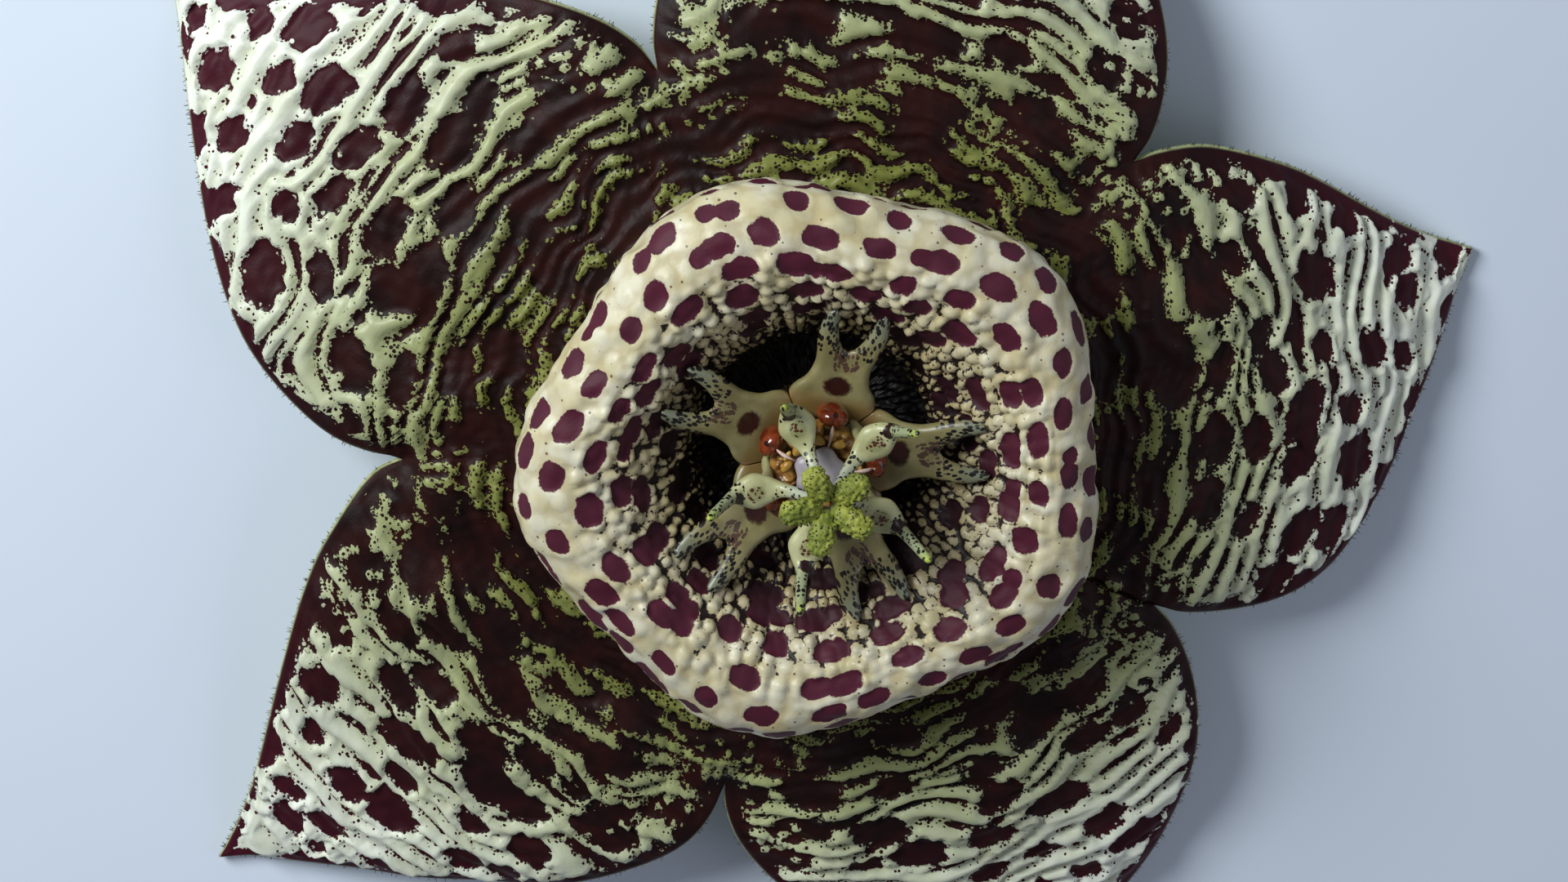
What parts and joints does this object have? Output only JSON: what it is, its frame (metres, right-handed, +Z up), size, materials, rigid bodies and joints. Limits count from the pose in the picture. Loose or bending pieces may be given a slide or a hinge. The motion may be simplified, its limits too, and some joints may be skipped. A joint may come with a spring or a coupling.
{
  "type": "starfish flower",
  "caption": "Picked starfish flower lying face up: pointed, ridged and spotted corolla lobes round a raised annulus, with a forked corona in its cup.",
  "frame": {"origin": "on the surface that the flower lies on, below the middle of its outline", "axes": "+Z up, out of the flower's face; the lobe tips lie near 4, 76, 148, 221 and 293 degrees counter-clockwise from +X round the flower's own axis"},
  "size_m": [0.0652, 0.07, 0.0175],
  "materials": {
    "corolla": "waxy, with dark maroon spots and pale ridges",
    "corona": "satin, speckled",
    "column": "satin",
    "style": "satin",
    "anther": "satin, slightly translucent",
    "nectar": "wet gloss",
    "pollinarium": "waxy gloss",
    "green": "matte"
  },
  "bodies": {
    "root": {"corolla": "corolla", "staminal_column": "column", "style_head": "style", "outer_corona_lobe_1": "corona", "outer_corona_lobe_2": "corona", "outer_corona_lobe_3": "corona", "outer_corona_lobe_4": "corona", "outer_corona_lobe_5": "corona", "nectar_pad_1": "nectar", "nectar_pad_2": "nectar", "nectar_pad_3": "nectar", "nectar_pad_4": "nectar", "nectar_pad_5": "nectar", "pollinarium_1": "pollinarium", "pollinarium_2": "pollinarium", "pollinarium_3": "pollinarium", "pollinarium_4": "pollinarium", "pollinarium_5": "pollinarium", "inner_corona_lobe_1": "corona", "inner_corona_lobe_2": "corona", "inner_corona_lobe_3": "corona", "inner_corona_lobe_4": "corona", "inner_corona_lobe_5": "corona", "anther_1": "anther", "anther_2": "anther", "anther_3": "anther", "anther_4": "anther", "anther_5": "anther", "sepal_1": "green", "sepal_2": "green", "sepal_3": "green", "sepal_4": "green", "sepal_5": "green", "pedicel": "green"}
  },
  "joints": []
}
